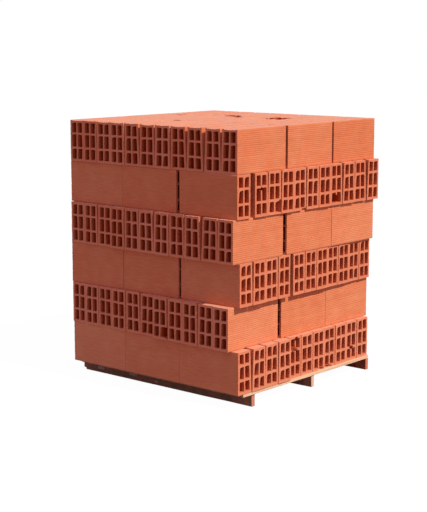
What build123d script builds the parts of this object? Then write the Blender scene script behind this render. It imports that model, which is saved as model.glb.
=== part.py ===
from build123d import *
import os

# A pallet of hollow bricks, in millimetres, +Z up.
# The origin is the middle of the middle runner's underside, on the ground.
# X runs along the runners. Y runs along the deck boards. -Y is the front.
os.makedirs("parts", exist_ok=True)

# The hollow brick, which lies on edge
brick_length = 330
brick_height = 190
brick_thickness = 86
side_wall = 10
edge_wall = 10
cell_web = 8
cell_columns = 2
end_row_cell_height = 48
hidden_end_wall = 10

# The stack of crossed courses, laid on the deck
bricks_in_row = 11
stack_shift_x = 17.5
stack_shift_y = -46
core_clearance = 1

# How far each brick of a row stands out past its neighbours
uneven_laying = (0, 3, 1, 4, 0, 2, 4, 1, 3, 0, 2)

# The pallet
deck_width = 996
deck_front = -516
deck_back = 446
deck_board_count = 9
deck_board_width = 100
deck_thickness = 15
runner_overhang = 55
runner_thickness = 22
runner_height = 55
front_runner_distance = 434
back_runner_distance = 434

# Sizes that follow
cell_width = (brick_thickness - 2 * side_wall - (cell_columns - 1) * cell_web) / cell_columns
middle_cell_height = brick_height - 2 * edge_wall - 2 * cell_web - 2 * end_row_cell_height
cell_pitch_x = cell_width + cell_web
cell_row_offset = (middle_cell_height + end_row_cell_height) / 2 + cell_web
stack_bottom = runner_height + deck_thickness
deck_depth = deck_back - deck_front
runner_length = deck_width + runner_overhang
deck_middle_x = runner_overhang / 2
deck_gap = (deck_width - deck_board_count * deck_board_width) / (deck_board_count - 1)

# A brick with its open end at y = 0 and its length along +Y, standing on z = 0.
# Its cells stop short of the far end, which the row behind hides.
with BuildPart() as brick:
    with BuildSketch(Plane.XZ):
        with Locations((0, brick_height / 2)):
            Rectangle(brick_thickness, brick_height)
            with GridLocations(cell_pitch_x, 2 * cell_row_offset, cell_columns, 2):
                Rectangle(cell_width, end_row_cell_height, mode=Mode.SUBTRACT)
            with GridLocations(cell_pitch_x, 0, cell_columns, 1):
                Rectangle(cell_width, middle_cell_height, mode=Mode.SUBTRACT)
    extrude(amount=-(brick_length - hidden_end_wall))
    with BuildSketch(Plane.XZ.offset(-(brick_length - hidden_end_wall))):
        with Locations((0, brick_height / 2)):
            Rectangle(brick_thickness, brick_height)
    extrude(amount=-hidden_end_wall)

# A brick of a middle row, whose two ends are both hidden, laid like the other
with BuildPart() as middle_brick:
    with BuildSketch():
        with Locations((0, brick_length / 2)):
            Rectangle(brick_thickness, brick_length)
    extrude(amount=brick_height)

# How each course is laid, from the top down: the joints along its rows, from left to right
# as seen from its first row, the two joints between its rows, and which bricks of the first
# row are pulled out of line and by how much
laying = {
    "course_1": ((1, 1, 1, 2, 10, 7, 5, 11, 12, 9), (14, 9), (), 0),
    "course_2": ((27, 6, 4, 3, 5, 2, 3, 10, 6, 15), (20, 8), (), 0),
    "course_3": ((2, 5, 4, 3, 4, 10, 3, 6, 13, 4), (25, 3), range(3, 11), 9),
    "course_4": ((6, 2, 2, 21, 2, 1, 1, 1, 1, 1), (15, 1), range(4, 11), 6),
    "course_5": ((1, 1, 2, 2, 8, 2, 4, 2, 4, 1), (22, 2), range(6, 11), 12),
    "course_6": ((12, 6, 4, 5, 1, 1, 2, 3, 3, 2), (1, 6), range(0, 4), 9),
}


def course_place(level, quarter_turns, shift, turn):
    """Where a course lies: its level counts from the deck, its turn is in degrees."""
    height = stack_bottom + level * brick_height
    middle = (stack_shift_x + shift[0], stack_shift_y + shift[1], height)
    return Location(middle, (0, 0, 90 * quarter_turns + turn))


# Where each course lies. Every other one is laid across.
places = {
    "course_1": course_place(5, 0, (0, 6), 0),
    "course_2": course_place(4, 1, (5, 16), -0.9),
    "course_3": course_place(3, 0, (4, 0), -0.6),
    "course_4": course_place(2, 1, (-8, 0), 0.95),
    "course_5": course_place(1, 0, (-10, 0), -0.5),
    "course_6": course_place(0, 1, (2, -8), 0),
}


def row_middles(joints):
    """The middles of a row's bricks along the row, which is centred on zero."""
    length = bricks_in_row * brick_thickness + sum(joints)
    middles = [-length / 2 + brick_thickness / 2]
    for joint in joints:
        middles.append(middles[-1] + brick_thickness + joint)
    return middles


def row_fronts(row_joints):
    """Where the first and the middle row begin and the last row ends, with the first facing -Y."""
    back = (3 * brick_length + sum(row_joints)) / 2
    return -back, brick_length + row_joints[0] - back, back


def lay_course(joints, row_joints, pulled_out, pulled_by, middle_row):
    """The bricks of one course that something shows, standing on z = 0."""
    front, second, back = row_fronts(row_joints)
    middles = row_middles(joints)
    first_places = []
    for index, middle in enumerate(middles):
        stands_out = uneven_laying[index] + (pulled_by if index in pulled_out else 0)
        first_places.append(Location((middle, front - stands_out, 0)))
    last_places = []
    for index, middle in enumerate(middles):
        last_places.append(Location((-middle, back + uneven_laying[index], 0), (0, 0, 180)))
    middle_places = [Location((middles[index], second, 0)) for index in middle_row]
    with BuildPart() as bricks:
        with Locations(*first_places, *last_places):
            add(brick.part)
        with Locations(*middle_places):
            add(middle_brick.part)
    return bricks.part


def core_block(joints, row_joints):
    """The hidden bricks of one course, between the two outer bricks of its middle row."""
    front, second, back = row_fronts(row_joints)
    middles = row_middles(joints)
    width = middles[-1] - middles[0] - brick_thickness - 2 * core_clearance
    with BuildPart() as block:
        with BuildSketch():
            with Locations((0, second + brick_length / 2)):
                Rectangle(width, brick_length)
        extrude(amount=brick_height)
    return block.part


# The courses. The top one shows its whole middle row, the others only its outer bricks.
for name, (joints, row_joints, pulled_out, pulled_by) in laying.items():
    middle_row = range(bricks_in_row) if name == "course_1" else (0, bricks_in_row - 1)
    bricks = lay_course(joints, row_joints, pulled_out, pulled_by, middle_row)
    course = bricks.moved(places[name])
    course.label = name
    export_step(course, f"parts/{name}.step")

# The bricks in the middle of the stack, under the top course, as one plain core
with BuildPart() as hidden_bricks:
    for name, (joints, row_joints, pulled_out, pulled_by) in laying.items():
        if name != "course_1":
            add(core_block(joints, row_joints).moved(places[name]))
hidden_bricks.part.label = "hidden_bricks"
export_step(hidden_bricks.part, "parts/hidden_bricks.step")

# The deck's boards, side by side along Y
with BuildPart() as deck_boards:
    with BuildSketch(Plane.XY.offset(runner_height)):
        with Locations((deck_middle_x, (deck_front + deck_back) / 2)):
            with GridLocations(deck_board_width + deck_gap, 0, deck_board_count, 1):
                Rectangle(deck_board_width, deck_depth)
    extrude(amount=deck_thickness)
deck_boards.part.label = "deck_boards"
export_step(deck_boards.part, "parts/deck_boards.step")

# The runners, thin boards on edge along X
runners = {
    "front_runner": -front_runner_distance,
    "middle_runner": 0,
    "back_runner": back_runner_distance,
}
for name, distance in runners.items():
    with BuildPart() as runner:
        with BuildSketch():
            with Locations((0, distance)):
                Rectangle(runner_length, runner_thickness)
        extrude(amount=runner_height)
    runner.part.label = name
    export_step(runner.part, f"parts/{name}.step")
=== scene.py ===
import math
import random
import bmesh
import bpy
from mathutils import Matrix, Vector, noise


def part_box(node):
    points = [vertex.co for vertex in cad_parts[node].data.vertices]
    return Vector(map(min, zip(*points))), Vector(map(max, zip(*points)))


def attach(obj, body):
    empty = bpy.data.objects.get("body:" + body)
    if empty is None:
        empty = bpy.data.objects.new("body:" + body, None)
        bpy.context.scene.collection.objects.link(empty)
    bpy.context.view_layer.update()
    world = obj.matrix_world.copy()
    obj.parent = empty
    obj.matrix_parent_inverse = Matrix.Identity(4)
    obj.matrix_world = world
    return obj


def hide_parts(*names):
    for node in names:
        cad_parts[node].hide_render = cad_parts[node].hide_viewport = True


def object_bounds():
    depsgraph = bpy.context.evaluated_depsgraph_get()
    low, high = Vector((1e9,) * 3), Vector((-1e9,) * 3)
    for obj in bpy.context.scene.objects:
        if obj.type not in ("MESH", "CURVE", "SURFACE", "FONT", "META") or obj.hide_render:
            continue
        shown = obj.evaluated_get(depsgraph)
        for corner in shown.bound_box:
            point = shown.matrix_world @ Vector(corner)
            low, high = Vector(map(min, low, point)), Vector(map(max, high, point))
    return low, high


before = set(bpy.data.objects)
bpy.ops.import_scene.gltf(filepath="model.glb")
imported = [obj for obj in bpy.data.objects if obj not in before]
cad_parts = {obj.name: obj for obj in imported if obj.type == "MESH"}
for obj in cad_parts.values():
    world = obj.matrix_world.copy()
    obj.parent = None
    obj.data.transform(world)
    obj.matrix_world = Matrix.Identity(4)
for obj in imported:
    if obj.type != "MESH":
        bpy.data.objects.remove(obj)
cad_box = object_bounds()

# The camera stands off the stack's front right corner, five and a half metres away and a
# little higher than its top, and looks slightly down, as in the photo.
photo_width = 427
focal_length_px = 1343
camera_azimuth = 40.59
camera_pitch = 9.39
camera_data = bpy.data.cameras.new("view")
camera_data.sensor_fit = "HORIZONTAL"
camera_data.sensor_width = 36
camera_data.lens = camera_data.sensor_width * focal_length_px / photo_width
camera = bpy.data.objects.new("view", camera_data)
bpy.context.scene.collection.objects.link(camera)
camera.location = (4.0735, -4.848, 1.601)
camera.rotation_euler = (math.radians(90 - camera_pitch), 0, math.radians(camera_azimuth))
bpy.context.scene.camera = camera
bpy.context.scene.view_settings.view_transform = "Standard"

# The studio floor is a plain sheet of matt white paper. The camera sees it part lit and part
# glowing, so that it comes out white and the shadow under the pallet stays pale.
floor_size = 60
paper_glow = 1.15
glow_share = 0.85


def linear(hex_colour):
    """An sRGB hex colour as linear red, green, blue and alpha."""
    channels = [int(hex_colour[place:place + 2], 16) / 255 for place in (1, 3, 5)]
    return [c / 12.92 if c <= 0.04045 else ((c + 0.055) / 1.055) ** 2.4 for c in channels] + [1]


def add_node(tree, kind, settings=None, links=None):
    """Adds a node, sets its sockets or properties, and links its sockets."""
    node = tree.nodes.new(kind)
    for name, value in (settings or {}).items():
        if isinstance(name, str) and hasattr(node, name):
            setattr(node, name, value)
        else:
            node.inputs[name].default_value = value
    for name, source in (links or {}).items():
        tree.links.new(source, node.inputs[name])
    return node


def new_material(name):
    """An empty node material."""
    material = bpy.data.materials.new(name)
    material.use_nodes = True
    material.node_tree.nodes.clear()
    return material


def seen_by_camera(tree):
    """Is 1 for what the camera sees, also through glass or in a gloss, and 0 for what only
    gives light."""
    rays = add_node(tree, "ShaderNodeLightPath")
    seen = add_node(tree, "ShaderNodeMath", {"operation": "MAXIMUM"},
                    {0: rays.outputs["Is Camera Ray"], 1: rays.outputs["Is Glossy Ray"]})
    seen = add_node(tree, "ShaderNodeMath", {"operation": "MAXIMUM"},
                    {0: seen.outputs[0], 1: rays.outputs["Is Transmission Ray"]})
    return seen.outputs[0]


paper = new_material("white_paper_matt")
tree = paper.node_tree
lit = add_node(tree, "ShaderNodeBsdfDiffuse", {"Color": linear("#909090")})
glow = add_node(tree, "ShaderNodeEmission", {"Color": linear("#FFFFFF"), "Strength": paper_glow})
share = add_node(tree, "ShaderNodeMath", {"operation": "MULTIPLY", 1: glow_share},
                 {0: seen_by_camera(tree)})
mixed = add_node(tree, "ShaderNodeMixShader", {},
                 {0: share.outputs[0], 1: lit.outputs[0], 2: glow.outputs[0]})
add_node(tree, "ShaderNodeOutputMaterial", {}, {"Surface": mixed.outputs[0]})
bpy.ops.mesh.primitive_plane_add(size=floor_size, location=(0, 0, 0))
floor = bpy.context.object
floor.name = "studio_floor"
floor.data.materials.append(paper)

# One lamp stands high and far off to the right, in line with the stack's front. It lights the
# right side and the top and passes along the front, whose shade the pale world fills.
lamp_direction = Vector((0.634, 0.035, 0.692))
fill_strength = 0.46
lamp_data = bpy.data.lights.new("key", "SUN")
lamp_data.energy = 3.38
lamp_data.angle = math.radians(1.5)
lamp_data.color = linear("#FFFAE8")[:3]
lamp = bpy.data.objects.new("key", lamp_data)
lamp.rotation_euler = lamp_direction.to_track_quat("Z", "Y").to_euler()
bpy.context.scene.collection.objects.link(lamp)
world = bpy.data.worlds.new("studio")
world.use_nodes = True
world.node_tree.nodes.clear()
tree = world.node_tree
fill = add_node(tree, "ShaderNodeBackground",
                {"Color": linear("#F2D6F8"), "Strength": fill_strength})
white = add_node(tree, "ShaderNodeBackground", {"Color": linear("#FFFFFF"), "Strength": 1})
mixed = add_node(tree, "ShaderNodeMixShader", {},
                 {0: seen_by_camera(tree), 1: fill.outputs[0], 2: white.outputs[0]})
add_node(tree, "ShaderNodeOutputWorld", {}, {"Surface": mixed.outputs[0]})
bpy.context.scene.world = world

# The bricks: clay pushed through a die as a long hollow bar with six cells and grooved flanks,
# cut to length with a wire, dried and fired. One is modelled and then copied.
MM = 0.001
brick_length = 330 * MM
brick_height = 190 * MM
brick_thickness = 86 * MM
side_wall = 10 * MM
edge_wall = 10 * MM
cell_web = 8 * MM
outer_cell_height = 48 * MM
groove_count = 20
groove_pitch = 8.6 * MM
lowest_groove = 14 * MM
groove_width = 4 * MM
groove_depth = 0.85 * MM
arris_radius = 2 * MM
cell_radius = 4 * MM
# Two rings of cuts near the seen end let it wear, sag and tear.
end_rings = (5 * MM, 22 * MM)
# What lies closer than a hair counts as the same place. A face counts as square to an axis when
# its normal reaches this far along it.
hair = 0.1 * MM
square_on = 0.9
half_length = brick_length / 2
half_thickness = brick_thickness / 2
column_edges = (side_wall - half_thickness, -cell_web / 2, cell_web / 2, half_thickness - side_wall)
lower_rows = (edge_wall, edge_wall + outer_cell_height, edge_wall + outer_cell_height + cell_web)
row_edges = lower_rows + tuple(brick_height - edge for edge in reversed(lower_rows))
cells = [(left, right, low, high)
         for left, right in zip(column_edges[::2], column_edges[1::2])
         for low, high in zip(row_edges[::2], row_edges[1::2])]


def pick(piece, kind, wanted):
    """Selects, in edit mode, the faces, edges or vertices that are wanted."""
    bpy.ops.mesh.select_mode(type={"faces": "FACE", "edges": "EDGE", "verts": "VERT"}[kind])
    bpy.ops.mesh.select_all(action="DESELECT")
    mesh = bmesh.from_edit_mesh(piece.data)
    for element in getattr(mesh, kind):
        element.select_set(wanted(element))
    mesh.select_flush_mode()
    bmesh.update_edit_mesh(piece.data)


def cut_all(place, direction):
    """Cuts the whole piece's faces along a plane, in edit mode."""
    bpy.ops.mesh.select_all(action="SELECT")
    bpy.ops.mesh.bisect(plane_co=place, plane_no=direction)


def in_cell(point):
    """Whether a point of the brick's section lies in one of its cells."""
    return any(left < point.x < right and low < point.z < high for left, right, low, high in cells)


def on_flank(point):
    """Whether a point lies on one of the brick's two grooved sides."""
    return abs(point.x) > half_thickness - hair


def on_bed(point):
    """Whether a point lies on the brick's top or underside."""
    return point.z < hair or point.z > brick_height - hair


def runs_along(edge):
    """Whether an edge runs the whole length of the brick."""
    return abs(edge.verts[0].co.y - edge.verts[1].co.y) > brick_length - hair


bpy.ops.object.select_all(action="DESELECT")
bpy.ops.mesh.primitive_cube_add(size=1, location=(0, 0, brick_height / 2))
brick = bpy.context.object
brick.name = "brick"
brick.scale = (brick_thickness, brick_length, brick_height)
bpy.ops.object.transform_apply(location=True, rotation=True, scale=True)
bpy.ops.object.mode_set(mode="EDIT")
for edge in column_edges:
    cut_all((edge, 0, 0), (1, 0, 0))
for edge in row_edges:
    cut_all((0, 0, edge), (0, 0, 1))
# The cells are pushed through from the front end, and the two faces left in each are removed.
pick(brick, "faces", lambda face: face.normal.y < -square_on and in_cell(face.calc_center_median()))
bpy.ops.mesh.extrude_region_move(TRANSFORM_OT_translate={"value": (0, brick_length, 0)})
pick(brick, "faces", lambda face: abs(face.normal.y) > square_on
     and face.calc_center_median().y > 0 and in_cell(face.calc_center_median()))
bpy.ops.mesh.delete(type="FACE")
bpy.ops.mesh.select_all(action="SELECT")
bpy.ops.mesh.remove_doubles(threshold=hair)
# The die leaves the cells' corners and the outer arrises round.
pick(brick, "edges", lambda edge: runs_along(edge) and not on_flank(edge.verts[0].co)
     and not on_bed(edge.verts[0].co))
bpy.ops.mesh.bevel(offset=cell_radius, segments=2, affect="EDGES")
pick(brick, "edges", lambda edge: runs_along(edge) and on_flank(edge.verts[0].co)
     and on_bed(edge.verts[0].co))
bpy.ops.mesh.bevel(offset=arris_radius, segments=2, affect="EDGES")
# Each groove along the two flanks is cut as three lines, and its middle line is pressed in.
groove_middles = [lowest_groove + groove_pitch * number for number in range(groove_count)]
for middle in groove_middles:
    for offset in (-groove_width / 2, 0, groove_width / 2):
        pick(brick, "faces", lambda face: on_flank(face.calc_center_median()))
        bpy.ops.mesh.bisect(plane_co=(0, 0, middle + offset), plane_no=(0, 0, 1))
pick(brick, "verts", lambda vertex: on_flank(vertex.co)
     and any(abs(vertex.co.z - middle) < hair for middle in groove_middles))
pressed = (half_thickness - groove_depth) / half_thickness
bpy.ops.transform.resize(value=(pressed, 1, 1), center_override=(0, 0, 0))
for ring in end_rings:
    cut_all((0, ring - half_length, 0), (0, 1, 0))
bpy.ops.mesh.select_all(action="SELECT")
bpy.ops.mesh.normals_make_consistent(inside=False)
bpy.ops.object.mode_set(mode="OBJECT")

# Fired clay. It is matt orange, clouded and flushed red in the kiln, with fine drag lines along the
# brick and grit. What faces up is paler, partly from pale dust and partly as painted light, and deep
# in the cells the clay is painted darker, as painted shade. The wire left the ends paler.
extruded_colours = ((0.25, "#CF6D46"), (0.5, "#DB7E55"), (0.75, "#E6916A"))
wire_cut_colours = ((0.25, "#D47552"), (0.5, "#DE825F"), (0.75, "#E69070"))
clay_flushed = "#E0684E"
# Deep in the cells the clay is painted this darker, redder colour: painted shade.
painted_cell_shade = "#C44C10"
# What faces up is mixed towards this: pale dust, and painted light that makes the tops paler.
clay_dust_and_painted_light = "#DC9B80"
cloud_size = 70 * MM
flush_size = 130 * MM
most_flush = 0.12
most_dust_and_painted_light = 0.9
# Real drag lines and grit are under a millimetre wide. They are drawn coarser, so that they show.
drag_width = 6 * MM
drag_length = 55 * MM
drag_contrast = 0.21
grit_size = 2.5 * MM
grit_depth = 0.5 * MM


def new_clay(name, clay_colours, laid=True):
    """Fired clay. A laid brick's mesh says where on the brick a spot lies, how much lighter or darker
    the brick is, from its firing and from painted floor light on the lower courses, and how deep in a
    cell the spot is, which sets the painted shade in the cells. A piece that isn't laid says none
    of this, so it is patterned by its own place."""
    material = new_material(name)
    tree = material.node_tree
    if laid:
        spot = add_node(tree, "ShaderNodeAttribute", {"attribute_name": "in_brick"}).outputs["Vector"]
    else:
        spot = add_node(tree, "ShaderNodeTexCoord").outputs["Object"]
    tone = add_node(tree, "ShaderNodeAttribute", {"attribute_name": "tone"})
    cell_depth = add_node(tree, "ShaderNodeAttribute", {"attribute_name": "cell_depth"})
    clouds = add_node(tree, "ShaderNodeTexNoise", {"Scale": 1 / cloud_size, "Detail": 4},
                      {"Vector": spot})
    flush = add_node(tree, "ShaderNodeTexNoise", {"Scale": 1 / flush_size, "Detail": 1},
                     {"Vector": spot})
    along = add_node(tree, "ShaderNodeVectorMath",
                     {"operation": "MULTIPLY", 1: (1, drag_width / drag_length, 1)}, {0: spot})
    drag = add_node(tree, "ShaderNodeTexNoise", {"Scale": 1 / drag_width, "Detail": 3},
                    {"Vector": along.outputs[0]})
    grit = add_node(tree, "ShaderNodeTexNoise", {"Scale": 1 / grit_size, "Detail": 2},
                    {"Vector": spot})
    # The kiln's clouds run between the clay's three colours.
    soft = add_node(tree, "ShaderNodeMapRange", {"To Min": 0.34, "To Max": 0.66},
                    {"Value": clouds.outputs["Fac"]})
    shade = add_node(tree, "ShaderNodeMath", {"operation": "ADD"},
                     {0: soft.outputs[0], 1: tone.outputs["Fac"]})
    ramp = add_node(tree, "ShaderNodeValToRGB", {}, {"Fac": shade.outputs[0]})
    ramp.color_ramp.elements.new(clay_colours[1][0])
    for element, (position, colour) in zip(ramp.color_ramp.elements, clay_colours):
        element.position = position
        element.color = linear(colour)
    # The flushes and the drag lines are laid over them, then the pale dust with painted light on what
    # faces up, and the painted shade deep in the cells.
    flush = add_node(tree, "ShaderNodeMapRange",
                     {"From Min": 0.42, "From Max": 0.62, "To Max": most_flush},
                     {"Value": flush.outputs["Fac"]})
    flushed = add_node(tree, "ShaderNodeMixRGB", {"Color2": linear(clay_flushed)},
                       {"Fac": flush.outputs[0], "Color1": ramp.outputs["Color"]})
    streaked = add_node(tree, "ShaderNodeMixRGB", {"blend_type": "OVERLAY", "Fac": drag_contrast},
                        {"Color1": flushed.outputs["Color"], "Color2": drag.outputs["Fac"]})
    # What faces up turns paler: partly dust, partly painted light on the tops.
    upward = add_node(tree, "ShaderNodeSeparateXYZ", {},
                      {0: add_node(tree, "ShaderNodeNewGeometry").outputs["Normal"]})
    dust_and_light_share = add_node(tree, "ShaderNodeMapRange",
                     {"From Min": 0.6, "From Max": 0.95, "To Max": most_dust_and_painted_light},
                     {"Value": upward.outputs["Z"]})
    dusted = add_node(tree, "ShaderNodeMixRGB", {"Color2": linear(clay_dust_and_painted_light)},
                      {"Fac": dust_and_light_share.outputs[0], "Color1": streaked.outputs["Color"]})
    # The deeper in a cell, the more the clay turns to the painted shade.
    deep = add_node(tree, "ShaderNodeMixRGB", {"Color2": linear(painted_cell_shade)},
                    {"Fac": cell_depth.outputs["Fac"], "Color1": dusted.outputs["Color"]})
    relief = add_node(tree, "ShaderNodeMath", {"operation": "ADD"},
                      {0: grit.outputs["Fac"], 1: drag.outputs["Fac"]})
    bump = add_node(tree, "ShaderNodeBump", {"Strength": 0.5, "Distance": grit_depth},
                    {"Height": relief.outputs[0]})
    surface = add_node(tree, "ShaderNodeBsdfPrincipled",
                       {"Roughness": 0.9, "Specular IOR Level": 0.2, "IOR": 1.5},
                       {"Base Color": deep.outputs["Color"], "Normal": bump.outputs["Normal"]})
    add_node(tree, "ShaderNodeOutputMaterial", {}, {"Surface": surface.outputs[0]})
    return material


brick.data.materials.append(new_clay("fired_clay_extruded", extruded_colours))
brick.data.materials.append(new_clay("fired_clay_wire_cut", wire_cut_colours))
for face in brick.data.polygons:
    face.material_index = int(abs(face.normal.y) > square_on)

# The courses: eleven bricks on edge in each of three rows, laid dry and by hand. Each brick
# differs a little: its walls wave, it is narrower at the top, and the wire left its end ragged.
stack_middle = (cad_box[0] + cad_box[1]) / 2
# A wall's waves are this wide, and this many times longer along the brick.
wave_length = 40 * MM
wave_stretch = 8
wave_depth = 1.5 * MM
# The outer skin starts this far out from the brick's middle, as a share of the way.
skin_from = 0.96
ragged_depth = 2.2 * MM
ragged_length = 4 * ragged_depth
# Where a joint leaves room, a wet brick's foot has spread and its head has drawn in. Across a
# wide joint neither shows, so that the joint stays even.
spread_share = 0.45
most_spread = 4.5 * MM
shrink_share = 0.3
most_shrink = 3.5 * MM
wide_joint = 18 * MM
least_sag = 0.5
burr_share = 0.45
burr_depth = 6 * MM
burr_reach = 9 * MM
tone_range = 0.07
# A chip is the cut of a lump, which is round at 1 and a block at 0.
lump_roundness = 0.65
lump_roughness = 0.35
lump_detail = 5
smooth_below = math.radians(30)
# All chance comes from seeds, so each run gives the same bricks. Each piece reads its patterns
# from a place of its own, up to this far off.
pattern_shift = 9
laying_seed = 11
laying = random.Random(laying_seed)
noise.seed_set(laying_seed)


def solids_of(node):
    """The corners of each solid of a node in the frame."""
    mesh = bmesh.new()
    mesh.from_mesh(bpy.data.objects[node].data)
    bmesh.ops.remove_doubles(mesh, verts=mesh.verts, dist=hair / 2)
    solids = []
    for first in mesh.verts:
        if first.tag:
            continue
        first.tag = True
        joined = [first]
        for vertex in joined:
            for edge in vertex.link_edges:
                other = edge.other_vert(vertex)
                if not other.tag:
                    other.tag = True
                    joined.append(other)
        solids.append([vertex.co.copy() for vertex in joined])
    mesh.free()
    return solids


def laid_bricks(node):
    """Each brick of a course: its row, counted from the front or right side, the middle of its
    underside, which way its length points from its better seen end, its place in the row, the
    room on its left and right, how far inwards the stack's middle is, and the gap between its
    inner end and the middle row."""
    bricks = []
    for solid in solids_of(node):
        bottom = min(corner.z for corner in solid)
        corners = [corner for corner in solid if corner.z < bottom + hair]
        across = next(b - a for a in corners for b in corners
                      if abs((b - a).length - brick_thickness) < hair).normalized()
        along = Vector((-across.y, across.x, 0))
        if along.y < along.x:
            along = -along
        middle = Vector((0, 0, bottom))
        for axis in (across, along):
            reach = [axis.dot(corner) for corner in corners]
            middle += axis * (min(reach) + max(reach)) / 2
        inward = along.dot(stack_middle - middle)
        row = 1 if abs(inward) < half_length else (0 if inward > 0 else 2)
        if row == 2:
            along = -along
        side = Vector((along.y, -along.x, 0)).dot(middle - stack_middle)
        bricks.append({"row": row, "middle": middle, "along": along, "side": side,
                       "room": [0, 0], "inward": inward})
    bricks.sort(key=lambda brick: (brick["row"], brick["side"]))
    inmost = next(brick["inward"] for brick in bricks if brick["row"] == 1)
    for brick in bricks:
        brick["gap"] = abs(brick["inward"] - inmost) - brick_length
    for left, right in zip(bricks, bricks[1:]):
        if left["row"] == right["row"]:
            joint = right["side"] - left["side"] - brick_thickness
            left["room"][1] = right["room"][0] = max(0, joint)
    return bricks


def copy_of(master, name):
    """A copy of a modelled piece, with its own mesh."""
    piece = bpy.data.objects.new(name, master.data.copy())
    bpy.context.scene.collection.objects.link(piece)
    return piece


def joined_as(name, pieces):
    """Joins the pieces of one node into one object, gives it a name and leaves it selected."""
    bpy.ops.object.select_all(action="DESELECT")
    for piece in pieces:
        piece.select_set(True)
    bpy.context.view_layer.objects.active = pieces[0]
    bpy.ops.object.join()
    bpy.context.object.name = name
    return bpy.context.object


def chip(piece, place, size):
    """Breaks a rough lump out of a brick or board, at a place and of a size in its millimetres.
    The broken faces take the piece's second material."""
    bpy.ops.object.select_all(action="DESELECT")
    bpy.ops.mesh.primitive_ico_sphere_add(subdivisions=2, radius=0.5)
    lump = bpy.context.object
    for vertex in lump.data.vertices:
        blocky = Vector([math.copysign(abs(2 * c) ** lump_roundness, c) / 2 for c in vertex.co])
        blocky *= 1 + lump_roughness * noise.noise(vertex.co * lump_detail + Vector(place))
        vertex.co = Vector([(c * s + p) * MM for c, s, p in zip(blocky, size, place)])
    for face in lump.data.polygons:
        face.material_index = 1
    cut = piece.modifiers.new("chip", "BOOLEAN")
    cut.operation = "DIFFERENCE"
    cut.object = lump
    bpy.context.view_layer.objects.active = piece
    bpy.ops.object.modifier_apply(modifier=cut.name)
    bpy.data.objects.remove(lump)


def uneven(mesh, room, row, tone_and_painted_floor_light, grown, sagged):
    """Gives one brick's mesh its own small faults, and the attributes its clay reads. The room
    is what the joints on its left and right leave for its foot to spread. The last row's bricks
    lie with their sagged end inwards. A brick that was cut long has grown at its far end."""
    drift = Vector([laying.uniform(0, pattern_shift) for _ in range(3)])
    # The brick's tone is its own firing, at random, plus its course's share, which paints the lower
    # courses paler as painted light from the floor.
    tone_and_painted_floor_light += laying.uniform(-tone_range, tone_range)
    near = [gap * (gap < wide_joint) for gap in room]
    spread = [min(most_spread, gap * spread_share) for gap in near]
    shrink = [min(most_shrink, gap * shrink_share) for gap in near]
    sagged_end = 1 if row == 2 else -1
    sag = laying.uniform(least_sag, 1) * sagged
    burrs = [laying.uniform(0, burr_depth) * (laying.random() < burr_share) for _ in cells]
    for name, kind in (("tone", "FLOAT"), ("in_brick", "FLOAT_VECTOR"), ("cell_depth", "FLOAT")):
        mesh.attributes.new(name, kind, "POINT")
    tone, spot, depth = [mesh.attributes[name].data for name in ("tone", "in_brick", "cell_depth")]
    for index, vertex in enumerate(mesh.vertices):
        here = vertex.co.copy()
        up = here.z / brick_height
        rightward = here.x / brick_thickness + 0.5
        from_middle = here.x / half_thickness
        from_end = half_length - abs(here.y)
        inner = max(abs(from_middle), abs(2 * up - 1)) < skin_from
        tone[index].value = tone_and_painted_floor_light
        spot[index].vector = here + drift
        # The cell depth says how far the clay is painted darker deep in the cells, as painted shade.
        depth[index].value = min(1, from_end / end_rings[1]) if inner else 0
        # The walls wave. The outer ones only wave inwards, so the brick keeps within its size.
        wave = noise.noise_vector(Vector((here.x, here.y / wave_stretch, here.z)) / wave_length + drift)
        if inner:
            vertex.co += Vector((wave.x, 0, wave.z)) * wave_depth
        else:
            vertex.co.x -= abs(wave.x) * wave_depth / 2 * from_middle
            vertex.co.z -= abs(wave.z) * wave_depth / 2 * (2 * up - 1)
        # The foot spreads, the head shrinks, and a long brick grows.
        foot = spread[1] * rightward - spread[0] * (1 - rightward)
        head = shrink[0] * (1 - rightward) - shrink[1] * rightward
        vertex.co.x += foot * (1 - up) + head * up
        vertex.co.y += grown * max(0, here.y / half_length)
        # The head sags between the flanks, at one end.
        if from_end < end_rings[1] and here.y * sagged_end > 0:
            mouth = 1 - from_end / end_rings[1]
            vertex.co.z -= sag * mouth * up ** 6 * (1 - from_middle ** 4)
        # The wire tears the seen end, and pushes burrs into the upper left corners of some cells.
        if from_end < hair and here.y < 0 and row != 1:
            torn = noise.noise(here / ragged_length + drift)
            vertex.co.y += abs(torn) * ragged_depth
            if inner:
                vertex.co += Vector((torn, 0, torn)) * ragged_depth / 2
        if from_end < end_rings[0] / 2 and here.y < 0 and inner:
            for (left, right, low, high), burr in zip(cells, burrs):
                corner = (Vector((left, 0, high)) - Vector((here.x, 0, here.z))).length
                if corner < burr_reach:
                    vertex.co += Vector((1, 0, -1)) * burr * (1 - corner / burr_reach)


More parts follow.
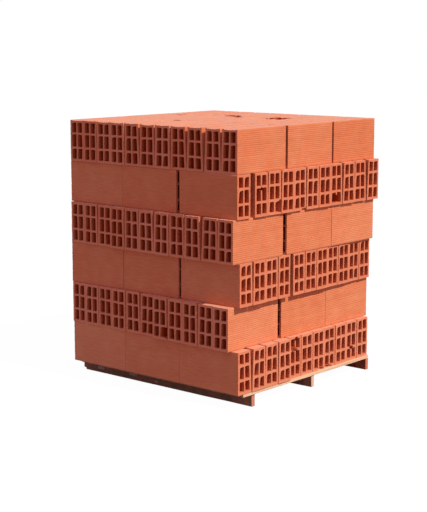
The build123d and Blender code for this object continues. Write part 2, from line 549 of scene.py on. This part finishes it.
def lay_course(node, tone_and_painted_floor_light=0, first_joint=None, second_joint=None, sagged=1.5 * MM, chips=()):
    """Makes one course where the frame has its bricks, as one piece. Where the width of a joint
    between two rows is given, their bricks were cut long or short to leave it. A chip names its
    brick by row and number from the left, and gives its place and size in the brick's
    millimetres."""
    pieces = []
    numbers = {0: 0, 1: 0, 2: 0}
    places = laid_bricks(node)
    grown = [0, 0, 0]
    if second_joint is not None:
        least = min(place["gap"] for place in places if place["row"] == 2)
        grown[1] = (least - second_joint) / 2
    for place in places:
        piece = copy_of(brick, f"{node}_brick")
        row = place["row"]
        for chip_row, number, chip_place, chip_size in chips:
            if (chip_row, number) == (row, numbers[row]):
                chip(piece, chip_place, chip_size)
        numbers[row] += 1
        if row == 0 and first_joint is not None:
            grown[0] = place["gap"] - first_joint
        if row == 2 and second_joint is not None:
            grown[2] = place["gap"] - second_joint - grown[1]
        uneven(piece.data, place["room"], row, tone_and_painted_floor_light, grown[row], sagged)
        turn = math.atan2(-place["along"].x, place["along"].y)
        piece.data.transform(Matrix.Translation(place["middle"]) @ Matrix.Rotation(turn, 4, "Z"))
        pieces.append(piece)
    course = joined_as(f"{node}_bricks", pieces)
    bpy.ops.object.shade_smooth_by_angle(angle=smooth_below)
    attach(course, "root")
    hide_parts(node)


# The tone given to each course grows downwards, so that the lower courses are painted paler: painted
# light, standing in for light thrown up from the floor.
# The first five chips of the top course are the long holes broken into its top.
lay_course("course_1", tone_and_painted_floor_light=0.02, second_joint=13 * MM, sagged=5 * MM, chips=[
    (1, 7, (0, 158, 167), (112, 104, 62)),
    (2, 3, (14, 145, 168), (76, 140, 60)),
    (2, 4, (-32, 145, 168), (48, 140, 60)),
    (2, 6, (12, 148, 174), (76, 100, 44)),
    (2, 7, (-34, 148, 174), (44, 100, 44)),
    (1, 5, (-12, 148, 184), (40, 70, 26)),
    (0, 4, (21, 119, 186), (34, 44, 16)),
    (1, 1, (-4, 121, 186), (40, 60, 18)),
    (0, 10, (43, 163, 190), (14, 16, 12)),
])
lay_course("course_2", second_joint=1.2 * MM, chips=[
    (0, 1, (0, -150, 120), (12, 50, 18)),
    (0, 2, (38, -150, 34), (26, 70, 56)),
    (0, 7, (0, -150, 30), (22, 70, 38)),
    (0, 4, (30, -165, 2), (36, 24, 14)),
])
lay_course("course_3", tone_and_painted_floor_light=0.08, first_joint=27 * MM)
lay_course("course_4", tone_and_painted_floor_light=0.08)
lay_course("course_5", tone_and_painted_floor_light=0.1, first_joint=25 * MM, chips=[
    (0, 6, (34, -152, 34), (36, 60, 56)),
])
lay_course("course_6", tone_and_painted_floor_light=0.13, first_joint=1.2 * MM, second_joint=1.2 * MM, chips=[
    (0, 4, (-6, -150, 132), (44, 60, 22)),
    (0, 4, (8, -150, 176), (30, 40, 24)),
    (0, 6, (20, -165, 4), (50, 30, 14)),
    (0, 7, (-10, -165, 4), (60, 30, 14)),
    (0, 9, (0, -150, 62), (30, 60, 18)),
])
bpy.data.objects.remove(brick)

# The bricks in the middle of the stack are of the same fired clay and laid in the same way. They
# show only as dark depths in the joints, so the solids' plain core is kept for them.
hidden = bpy.data.objects["hidden_bricks"]
hidden.data.materials.clear()
hidden.data.materials.append(new_clay("fired_clay_in_the_dark", extruded_colours, laid=False))

# The pallet's timber: thin softwood, sawn rough and never planed. A board is modelled lying along
# Y with cuts across it, so that it can be worn, and then copied. Its long arrises are blunt.
sawn_arris = 1.2 * MM
cut_spacing = 70 * MM
saw_wave = 1.6 * MM
saw_wave_length = 110 * MM
end_wear = 7 * MM
torn_fibres = 1.5 * MM
torn_length = 5 * torn_fibres
ring_width = 5 * MM
ring_length = 160 * MM
fibre_width = 1.2 * MM
fibre_length = 40 * MM
fibre_depth = 0.4 * MM
fibre_contrast = 0.35
dirt_size = 60 * MM
brick_dust = "#CB5E40"
sawing_seed = 5
sawing = random.Random(sawing_seed)


def sawn_board(name, width, length, thickness):
    """Models one board with its underside's middle at the origin and its length along Y."""
    bpy.ops.object.select_all(action="DESELECT")
    bpy.ops.mesh.primitive_cube_add(size=1, location=(0, 0, thickness / 2))
    board = bpy.context.object
    board.name = name
    board.scale = (width, length, thickness)
    bpy.ops.object.transform_apply(location=True, rotation=True, scale=True)
    bpy.ops.object.mode_set(mode="EDIT")
    for share in (-0.25, 0, 0.25):
        cut_all((share * width, 0, 0), (1, 0, 0))
    cut_all((0, 0, thickness / 2), (0, 0, 1))
    cuts = round(length / cut_spacing)
    for number in range(1, cuts):
        cut_all((0, (number / cuts - 0.5) * length, 0), (0, 1, 0))
    for end in (-1, 1):
        cut_all((0, end * (length / 2 - end_wear), 0), (0, 1, 0))
    pick(board, "edges", lambda edge: edge.calc_face_angle(0) > 1)
    bpy.ops.mesh.bevel(offset=sawn_arris, segments=1, affect="EDGES")
    bpy.ops.object.mode_set(mode="OBJECT")
    return board


def wear(mesh, stain):
    """Gives one board wavy sawn sides and worn ends, and the attributes its wood reads."""
    side, end, top = [max(vertex.co[axis] for vertex in mesh.vertices) for axis in range(3)]
    drift = Vector([sawing.uniform(0, pattern_shift) for _ in range(3)])
    short = [sawing.uniform(0, end_wear) for _ in range(2)]
    for name, kind in (("in_board", "FLOAT_VECTOR"), ("stain", "FLOAT")):
        mesh.attributes.new(name, kind, "POINT")
    grain, stained = [mesh.attributes[name].data for name in ("in_board", "stain")]
    for index, vertex in enumerate(mesh.vertices):
        here = vertex.co.copy()
        grain[index].vector = here + drift
        stained[index].value = stain
        wave = noise.noise_vector(here / saw_wave_length + drift)
        vertex.co.x -= abs(wave.x) * saw_wave * here.x / side
        vertex.co.z += abs(wave.y) * saw_wave * (1 - 2 * here.z / top)
        if end - abs(here.y) < end_wear / 2:
            torn = abs(noise.noise(here / torn_length + drift)) * torn_fibres
            vertex.co.y -= math.copysign(short[here.y > 0] + torn, here.y)


def new_sawn_wood(name, wood_colours, dirt_colour):
    """Rough sawn softwood, dry and without gloss, with grain along Y of the board, brick dust
    where it is stained, and patches of dirt on the ends of the deck boards and the long sides
    of the runners."""
    material = new_material(name)
    tree = material.node_tree
    spot = add_node(tree, "ShaderNodeAttribute", {"attribute_name": "in_board"}).outputs["Vector"]
    stain = add_node(tree, "ShaderNodeAttribute", {"attribute_name": "stain"})
    layers = []
    for across, along in ((ring_width, ring_length), (fibre_width, fibre_length)):
        stretched = add_node(tree, "ShaderNodeVectorMath",
                             {"operation": "MULTIPLY", 1: (1, across / along, 1)}, {0: spot})
        layers.append(add_node(tree, "ShaderNodeTexNoise", {"Scale": 1 / across, "Detail": 2},
                               {"Vector": stretched.outputs[0]}))
    rings, fibres = layers
    ramp = add_node(tree, "ShaderNodeValToRGB", {}, {"Fac": rings.outputs["Fac"]})
    for element, position, colour in zip(ramp.color_ramp.elements, (0.35, 0.65), wood_colours):
        element.position = position
        element.color = linear(colour)
    streaked = add_node(tree, "ShaderNodeMixRGB", {"blend_type": "OVERLAY", "Fac": fibre_contrast},
                        {"Color1": ramp.outputs["Color"], "Color2": fibres.outputs["Fac"]})
    dusted = add_node(tree, "ShaderNodeMixRGB", {"Color2": linear(brick_dust)},
                      {"Fac": stain.outputs["Fac"], "Color1": streaked.outputs["Color"]})
    # The dirt lies on what faces the front or back, and wears thin in patches.
    facing = add_node(tree, "ShaderNodeSeparateXYZ", {},
                      {0: add_node(tree, "ShaderNodeNewGeometry").outputs["Normal"]})
    towards = add_node(tree, "ShaderNodeMath", {"operation": "ABSOLUTE"},
                       {0: facing.outputs["Y"]})
    dirt = add_node(tree, "ShaderNodeMapRange",
                    {"From Min": 0.6, "From Max": 0.8, "To Max": 1}, {"Value": towards.outputs[0]})
    patches = add_node(tree, "ShaderNodeTexNoise", {"Scale": 1 / dirt_size, "Detail": 3},
                       {"Vector": spot})
    worn = add_node(tree, "ShaderNodeMapRange",
                    {"From Min": 0.3, "From Max": 0.75, "To Min": 1, "To Max": 0.55},
                    {"Value": patches.outputs["Fac"]})
    share = add_node(tree, "ShaderNodeMath", {"operation": "MULTIPLY"},
                     {0: dirt.outputs[0], 1: worn.outputs[0]})
    soiled = add_node(tree, "ShaderNodeMixRGB", {"Color2": linear(dirt_colour)},
                      {"Fac": share.outputs[0], "Color1": dusted.outputs["Color"]})
    bump = add_node(tree, "ShaderNodeBump", {"Strength": 0.6, "Distance": fibre_depth},
                    {"Height": fibres.outputs["Fac"]})
    surface = add_node(tree, "ShaderNodeBsdfPrincipled",
                       {"Roughness": 0.85, "Specular IOR Level": 0.25, "IOR": 1.5},
                       {"Base Color": soiled.outputs["Color"], "Normal": bump.outputs["Normal"]})
    add_node(tree, "ShaderNodeOutputMaterial", {}, {"Surface": surface.outputs[0]})
    return material


def finish_timber(piece, node):
    """Shades a finished piece of timber and puts it in the place of its node."""
    bpy.ops.object.select_all(action="DESELECT")
    piece.select_set(True)
    bpy.context.view_layer.objects.active = piece
    bpy.ops.object.shade_smooth_by_angle(angle=smooth_below)
    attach(piece, "root")
    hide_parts(node)


# The deck: nine softwood boards side by side, each from front to back, which the bricks stand
# on. Two are broken at their front ends, where the fresh wood shows.
pale_pine = new_sawn_wood("softwood_sawn_pale", ("#DDAF8C", "#EFC7A6"), "#6E4C3C")
fresh_pine = new_sawn_wood("softwood_torn_fresh", ("#D9C2AE", "#E8D6C4"), "#C0A594")
most_deck_dust = 0.12
deck_breaks = {1: ((28, -485, 2), (9, 30, 26)), 4: ((4, -485, 0), (26, 24, 14))}
deck_places = [(Vector(map(min, zip(*solid))), Vector(map(max, zip(*solid))))
               for solid in solids_of("deck_boards")]
low, high = deck_places[0]
deck_board = sawn_board("deck_board", high.x - low.x, high.y - low.y, high.z - low.z)
deck_board.data.materials.append(pale_pine)
deck_board.data.materials.append(fresh_pine)
deck_places.sort(key=lambda place: place[0].x)
boards = []
for number, (low, high) in enumerate(deck_places):
    board = copy_of(deck_board, "deck_board")
    if number in deck_breaks:
        chip(board, *deck_breaks[number])
    wear(board.data, sawing.uniform(0, most_deck_dust))
    board.data.transform(Matrix.Translation(((low.x + high.x) / 2, (low.y + high.y) / 2, low.z)))
    boards.append(board)
finish_timber(joined_as("deck", boards), "deck_boards")
bpy.data.objects.remove(deck_board)

# The runners: three thin boards on edge, which hold the deck off the ground. Mud from the yard
# dries on the front one, which is also scraped and split. The others are red with brick dust.
muddy_pine = new_sawn_wood("softwood_sawn_muddy", ("#DDB294", "#EAC4AA"), "#7A5C46")
dusty_pine = new_sawn_wood("softwood_sawn_dusty", ("#DDB294", "#EAC4AA"), "#792B18")
low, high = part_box("middle_runner")
runner = sawn_board("runner", high[1] - low[1], high[0] - low[0], high[2] - low[2])
# Each runner's wood, how thick the brick dust lies on it, and the scrapes in its millimetres.
runner_look = {
    "front_runner": (muddy_pine, 0.72, [
        ((12, -409, 24), (5, 46, 17)),
        ((12, -197, 27), (5, 56, 13)),
        ((12, -369, 26), (16, 10, 62)),
        ((12, -51, 14), (14, 26, 13)),
        ((0, -527, -3), (34, 44, 34)),
    ]),
    "middle_runner": (dusty_pine, 0.1, []),
    "back_runner": (dusty_pine, 0.8, []),
}
for node, (wood, stain, scrapes) in runner_look.items():
    low, high = [Vector(corner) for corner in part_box(node)]
    piece = copy_of(runner, f"{node}_board")
    piece.data.materials.append(wood)
    piece.data.materials.append(fresh_pine)
    for scrape_place, scrape_size in scrapes:
        chip(piece, scrape_place, scrape_size)
    wear(piece.data, stain)
    place = Matrix.Translation(((low.x + high.x) / 2, (low.y + high.y) / 2, low.z))
    piece.data.transform(place @ Matrix.Rotation(-math.pi / 2, 4, "Z"))
    finish_timber(piece, node)
bpy.data.objects.remove(runner)
